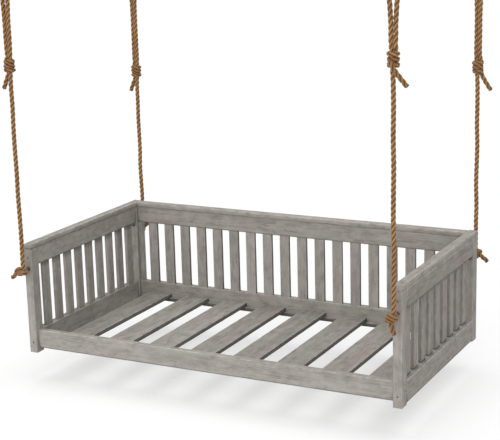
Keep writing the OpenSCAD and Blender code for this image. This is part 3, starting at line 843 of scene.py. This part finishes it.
def screw_tree():
    """Sets a screw on each point, along its facing, turned by chance."""
    tree, g, given, out = new_group(
        "screw heads", "GeometryNodeTree",
        [("Geometry", "Geometry", None), ("Screw", "Object", None),
         ("Seed", "Int", 1), ("Material", "Material", None)],
        [("Geometry", "Geometry")])
    screw = g.add("GeometryNodeObjectInfo", {"Object": given["Screw"]}, transform_space="ORIGINAL")
    facing = g.add("GeometryNodeInputNamedAttribute", {"Name": "facing"}, data_type="FLOAT_VECTOR")
    aimed = g.add("FunctionNodeAlignRotationToVector", {"Vector": facing.outputs[0]}, axis="Z")
    chance = g.add("FunctionNodeRandomValue", {"Seed": given["Seed"]}, data_type="FLOAT")
    g.feed(chance.inputs[3], 6.283)
    spin = g.add("FunctionNodeAxisAngleToRotation", {"Axis": (0, 0, 1), "Angle": chance.outputs[1]})
    turned = g.add("FunctionNodeRotateRotation", {0: aimed.outputs[0], 1: spin.outputs[0]},
                   rotation_space="LOCAL")
    copies = g.add("GeometryNodeInstanceOnPoints",
                   {"Points": given["Geometry"], "Instance": screw.outputs["Geometry"],
                    "Rotation": turned.outputs[0]})
    real = g.add("GeometryNodeRealizeInstances", {"Geometry": copies.outputs[0]})
    done = g.add("GeometryNodeSetMaterial", {"Geometry": real.outputs[0], "Material": given["Material"]})
    g.feed(out["Geometry"], done.outputs[0])
    return tree


def run_tree(piece, tree, values):
    """Runs a tree on a piece with its named inputs, and keeps the plain mesh."""
    modifier = piece.modifiers.new(tree.name, "NODES")
    modifier.node_group = tree
    sockets = {item.name: item.identifier for item in tree.interface.items_tree
               if item.item_type == "SOCKET" and item.in_out == "INPUT"}
    for label, value in values.items():
        modifier[sockets[label]] = value
    bake(piece)


def screw_pattern(name, radius, length):
    """A countersunk screw with a six-lobed drive, its face at the origin, pointing down."""
    sides = 24
    rows = [(-length, 0.3 * radius, 0), (-length + 0.001, 0.48 * radius, 0),
            (-0.0032, 0.5 * radius, 0), (-0.0004, radius, 0), (-0.0001, 0.96 * radius, 0),
            (0.0, 0.9 * radius, 0), (0.0, 0.48 * radius, 1), (-0.0016, 0.42 * radius, 1)]
    points = []
    for level, reach, lobed in rows:
        for k in range(sides):
            angle = 2 * math.pi * k / sides
            r = reach * (1 + 0.16 * lobed * math.cos(6 * angle))
            points.append((r * math.cos(angle), r * math.sin(angle), level))
    piece = mesh_object(name, points, closed_sleeve(0, len(rows), sides))
    smooth(piece, SCREW_CREASE)
    return piece


def make_screws(node, heads, size, tree, material):
    """All the screws of one kind, each a (place, facing) pair."""
    radius, length, _ = size
    pattern = screw_pattern(node + "_pattern", radius, length)
    piece = mesh_object(node + "_steel", [at for at, _ in heads], [])
    put_attribute(piece, "facing", "FLOAT_VECTOR", [facing for _, facing in heads])
    run_tree(piece, tree, {"Screw": pattern, "Seed": 3, "Material": material})
    bpy.data.objects.remove(pattern)
    finish_piece(piece, "bed", material, [node])


# ------------ the bed

def frame_screw_heads():
    """Places and facings of the screws in the posts."""
    heads = {}
    for name, sx, sy, *_ in CORNERS:
        y, heights = (BACK_SCREWS_Y, BACK_SCREWS_Z) if sy > 0 else (FRONT_SCREWS_Y, FRONT_SCREWS_Z)
        heads[name] = [((sx * POST_X, sy * POST_Y, z), (0, sy, 0)) for z in POST_SCREWS_Z]
        heads[name] += [((sx * OUTER_X, y, z), (sx, 0, 0)) for z in heights]
    return heads


def make_posts(material, heads):
    """The posts, with holes for the screws, and for each eye bolt and its nut."""
    radius, _, depth = FRAME_SCREW
    past = 0.002
    for i, (name, sx, sy, _, tone) in enumerate(CORNERS):
        low = (sx * POST_X - POST_W / 2, min(sy * POST_Y, sy * INNER_Y), FEET)
        high = (sx * POST_X + POST_W / 2, max(sy * POST_Y, sy * INNER_Y), CAP_UNDER)
        holes = [(at, (-f[0], -f[1], -f[2]), sink(radius, depth)) for at, f in heads[name]]
        holes.append(((sx * POST_X, sy * (POST_Y + past), EYE_Z), (0, -sy, 0),
                      [(0, BOLT_HOLE_R), (BOLT_HOLE_LENGTH, BOLT_HOLE_R)]))
        holes.append(((sx * POST_X, sy * (INNER_Y - past), EYE_Z), (0, sy, 0),
                      [(0, NUT_HOLE_R), (NUT_HOLE_DEPTH + past, NUT_HOLE_R)]))
        piece = make_board("post_" + name + "_wood", low, high, UPRIGHT, EASED, 11 + i, tone, holes)
        finish_piece(piece, "bed", material, ["post_" + name])


def make_boards(material):
    """Rails, caps and ledgers, each board named as its CAD node is."""
    boards = []

    def side_board(name, sx, face, end, under, top, radius, tone):
        xs = sorted((sx * face, sx * OUTER_X))
        boards.append((name, (xs[0], -end, under), (xs[1], end, top), FRONT_TO_BACK, radius, tone))

    def long_board(name, ys, under, top, radius, tone):
        boards.append((name, (-INNER_X, ys[0], under), (INNER_X, ys[1], top), ALONG_BED, radius, tone))

    for side, sx in (("left", -1), ("right", 1)):
        # the right top rail's lower tone is painted shade on the bed's right side
        side_board(side + "_top_rail", sx, SIDE_FACE, INNER_Y, TOP_RAIL, CAP_UNDER, EASED, 0.95 - 0.09 * sx)
        side_board(side + "_bottom_rail", sx, SIDE_FACE, INNER_Y, SIDE_RAIL, SIDE_RAIL_TOP, EASED, 0.91)
        side_board(side + "_cap", sx, INNER_X, POST_Y, CAP_UNDER, CAP_TOP, SIDE_CAP_EASED, 0.99)
    back = (BACK_FACE, BACK_REAR)
    long_board("back_top_rail", back, TOP_RAIL, CAP_UNDER, EASED, 0.98)
    long_board("back_bottom_rail", back, SIDE_RAIL, BACK_RAIL_TOP, EASED, 0.95)
    long_board("back_cap", (BACK_CAP_FACE, BACK_CAP_REAR), CAP_UNDER, CAP_TOP, BACK_CAP_EASED, 1.0)
    long_board("front_rail", (FRONT_FACE, FRONT_BACK), FRONT_RAIL, FRONT_RAIL_TOP, EASED, 1.0)
    long_board("front_ledger", (FRONT_BACK, FRONT_LEDGER_BACK), LEDGER, DECK_UNDER, EASED, 0.9)
    long_board("back_ledger", (BACK_LEDGER_FACE, BACK_FACE), LEDGER, DECK_UNDER, EASED, 0.9)
    for i, (name, low, high, axis, radius, tone) in enumerate(boards):
        # the ledgers' front and rear faces get painted shade from the deck above
        piece = make_board(name + "_wood", low, high, axis, radius, 31 + i * 2.3, tone,
                           flank=0.7 if "ledger" in name else 0.0,
                           edge_wear_and_shade=EDGE_WEAR_AND_SHADE.get(name, PLAIN_WEAR_AND_SHADE))
        finish_piece(piece, "bed", material, [name])


def make_row(name, low, high, count, step, tones, seed, flank, material, tree):
    """A row of upright slats or stiles, copied from one, between the darkest and lightest tones."""
    piece = make_board(name + "_wood", low, high, UPRIGHT, SLAT_EASED, seed, 1.0, flank=flank)
    run_tree(piece, tree, {"Count": count, "Step": step, "Darkest": tones[0], "Lightest": tones[1],
                           "Seed": seed, "Material": material})
    finish_piece(piece, "bed", material, [name])


def make_panels(material, left_material, right_material, tree):
    """The slats of the three panels, and the back panel's end stiles."""
    slat_top = TOP_RAIL + HOUSING
    first = -INNER_Y - SLAT_W + SIDE_STEP
    # the right slats' darker tones are painted shade on the bed's right side; the value after each seed is
    # painted shade on the slats' side faces
    for side, sx, tones, seed, flank, used in (
            ("left", -1, (0.90, 1.06), 8, 0.10, left_material),
            ("right", 1, (0.78, 0.94), 5, 0.30, right_material)):
        xs = sorted((sx * SIDE_SLAT_IN, sx * SIDE_SLAT_OUT))
        make_row(side + "_slats", (xs[0], first, SIDE_RAIL_TOP - HOUSING), (xs[1], first + SLAT_W, slat_top),
                 SIDE_SLATS, (0, SIDE_STEP, 0), tones, seed, flank, used, tree)
    first = -INNER_X + BACK_EDGE
    # the back slats' 0.7 is painted shade on their side faces
    make_row("back_slats", (first, BACK_SLAT_IN, BACK_RAIL_TOP - HOUSING),
             (first + SLAT_W, BACK_SLAT_OUT, slat_top),
             BACK_SLATS, (BACK_STEP, 0, 0), (0.90, 1.06), 21, 0.7, material, tree)
    make_row("back_stiles", (-INNER_X, BACK_FACE, BACK_RAIL_TOP),
             (-INNER_X + STILE_W, BACK_REAR, TOP_RAIL),
             2, (2 * INNER_X - STILE_W, 0, 0), (0.95, 1.0), 4, 0.0, material, tree)


def make_deck(material, tree):
    """The deck boards, copied from one with its four screw holes."""
    radius, _, depth = DECK_SCREW
    first = -(DECK_BOARDS - 1) / 2 * DECK_STEP
    low = (first - DECK_W / 2, DECK_FRONT, DECK_UNDER)
    high = (first + DECK_W / 2, DECK_REAR, DECK_TOP)
    holes = [((first + dx, y, DECK_TOP), (0, 0, -1), sink(radius, depth))
             for dx in DECK_SCREWS_X for y in DECK_SCREWS_Y]
    # the deck boards' long sides get painted shade, down in the gaps
    piece = make_board("deck_boards", low, high, FRONT_TO_BACK, EASED, 77, 1.0, holes, flank=0.55)
    run_tree(piece, tree, {"Count": DECK_BOARDS, "Step": (DECK_STEP, 0, 0), "Darkest": 0.80,
                           "Lightest": 1.0, "Seed": 97, "Material": material})
    nodes = ["deck_slat_%d" % i for i in range(1, DECK_BOARDS + 1)]
    finish_piece(piece, "bed", material, nodes)


def deck_screw_heads():
    """Places and facings of the screws in the deck boards."""
    return [(((i - (DECK_BOARDS - 1) / 2) * DECK_STEP + dx, y, DECK_TOP), (0, 0, 1))
            for i in range(DECK_BOARDS) for dx in DECK_SCREWS_X for y in DECK_SCREWS_Y]


def make_ropes(material):
    """The four hanging ropes with their upper knots, and the four lower knots."""
    for i, (name, sx, sy, knot_z, _) in enumerate(CORNERS):
        piece, line, length = hanging_rope(name, sx, sy, knot_z)
        finish_piece(piece, "rope_" + name, material, ["rope_" + name, "upper_knot_" + name])
        kind = "outward" if name in ("front_left", "rear_right") else "hanging"
        knot, line, length = lower_knot(name, sx, sy, kind, 7.3 + i)
        body = "eye_front_left" if name == "front_left" else "bed"
        finish_piece(knot, body, material, ["lower_knot_" + name])


def make_nuts(material):
    """A washer and a hexagon nut at the bottom of each counterbore."""
    sides, sixth = 36, math.pi / 3
    for body, node, corners in (("eye_front_left", "eye_nut_front_left", CORNERS[:1]),
                                ("bed", "eye_nuts", CORNERS[1:])):
        points, faces = [], []
        for _, sx, sy, *_ in corners:
            faces += sleeve(len(points), len(NUT_RINGS), sides, looped=True)
            for level, radius, flat in NUT_RINGS:
                for step in range(sides):
                    angle = 2 * math.pi * step / sides
                    off = (angle + sixth / 2) % sixth - sixth / 2
                    reach = min(radius, NUT_FLAT / math.cos(off)) if flat else radius
                    points.append((sx * POST_X + reach * math.cos(angle) * sy,
                                   sy * (INNER_Y + NUT_HOLE_DEPTH - level),
                                   EYE_Z + reach * math.sin(angle)))
        piece = mesh_object(node + "_hexagon", points, faces)
        smooth(piece, NUT_CREASE)
        finish_piece(piece, body, material, [node])


def dress_fittings(bright, weathered):
    """Gives the steel fittings, which keep their CAD shapes, their materials."""
    kept = {"hanger_pins": bright}
    for name, *_ in CORNERS:
        kept["ceiling_hanger_" + name] = bright
        kept["hanger_ring_" + name] = bright
        kept["eye_bolt_" + name] = weathered
    for name, material in kept.items():
        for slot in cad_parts[name].material_slots:
            slot.link = "OBJECT"
            slot.material = material


# ------------ floor and light

def make_floor():
    """A pale floor under the bed that keeps its shadow and stays white around it."""
    size = 40
    floor = mesh_object("floor", [(-size, -size, FLOOR), (size, -size, FLOOR),
                                  (size, size, FLOOR), (-size, size, FLOOR)], [(0, 1, 2, 3)])
    material = bpy.data.materials.new("pale floor")
    g = emptied(material)
    plain = g.add("ShaderNodeBsdfDiffuse", {"Color": (0.80, 0.80, 0.80, 1)})
    lit = g.add("ShaderNodeBsdfDiffuse", {"Color": (1.0, 1.0, 1.0, 1)})
    white = g.add("ShaderNodeEmission", {"Color": (1, 1, 1, 1), "Strength": 1.0})
    pale = g.add("ShaderNodeMixShader", {0: 0.55, 1: lit.outputs[0], 2: white.outputs[0]})
    both = g.add("ShaderNodeMixShader", {0: g.background_seen(), 1: plain.outputs[0], 2: pale.outputs[0]})
    g.add("ShaderNodeOutputMaterial", {"Surface": both.outputs[0]})
    floor.data.materials.append(material)


def make_light():
    """An even light all round, a soft one from above and a wider one from the front."""
    world = bpy.data.worlds.new("studio")
    bpy.context.scene.world = world
    g = emptied(world)
    even = g.add("ShaderNodeBackground", {"Color": (1, 1, 1, 1), "Strength": 0.55})
    white = g.add("ShaderNodeBackground", {"Color": (1, 1, 1, 1), "Strength": 1.0})
    both = g.add("ShaderNodeMixShader", {0: g.background_seen(), 1: even.outputs[0], 2: white.outputs[0]})
    g.add("ShaderNodeOutputWorld", {"Surface": both.outputs[0]})
    for name, energy, angle, towards in (("top light", 1.15, 50, (-0.03, 0.14, 1.0)),
                                         ("front light", 1.3, 60, (0.02, -1.0, 0.38))):
        lamp = bpy.data.lights.new(name, "SUN")
        lamp.energy = energy
        lamp.angle = math.radians(angle)
        sun = new_object(name, lamp)
        sun.rotation_euler = Vector(towards).to_track_quat("Z", "Y").to_euler()


noise.seed_set(1)  # without it noise_vector bows the boards differently in each run
bpy.context.scene.view_settings.view_transform = "Standard"
hang_camera()
make_ropes(rope_material(fibre_group()))

# this group wears edges pale and also paints shade on lower edges
wear = wear_and_shade_group()
grain = grain_group()
wood = wood_material("weathered wood", grain, wear)
# copies of the wood that differ only in the painted shade near the rails
right_slat_wood = wood_material("weathered right slats", grain, wear, 0.72, 0.72)
left_slat_wood = wood_material("weathered left slats", grain, wear, 0.60, 0.15)
steel = metal_material("galvanised steel", (176, 177, 180), (128, 130, 134), 0.46, wear)
screw_steel = metal_material("dulled screw steel", (150, 146, 140), (88, 84, 79), 0.42, wear)
# nuts: partly the steel's age, partly painted shade of the counterbores they sit in
aged_shaded_nut_steel = metal_material("aged nut steel", (104, 102, 99), (62, 60, 58), 0.5, wear)
eye_steel = metal_material("weathered eye steel", (150, 145, 137), (104, 99, 91), 0.55, wear)

post_heads = frame_screw_heads()
make_posts(wood, post_heads)
make_boards(wood)
slat_row = slat_row_tree()
make_panels(wood, left_slat_wood, right_slat_wood, slat_row)
make_deck(wood, slat_row)
all_screws = screw_tree()
make_screws("frame_screws", [head for heads in post_heads.values() for head in heads],
            FRAME_SCREW, all_screws, screw_steel)
make_screws("deck_screws", deck_screw_heads(), DECK_SCREW, all_screws, screw_steel)
make_nuts(aged_shaded_nut_steel)
dress_fittings(steel, eye_steel)
make_floor()
make_light()
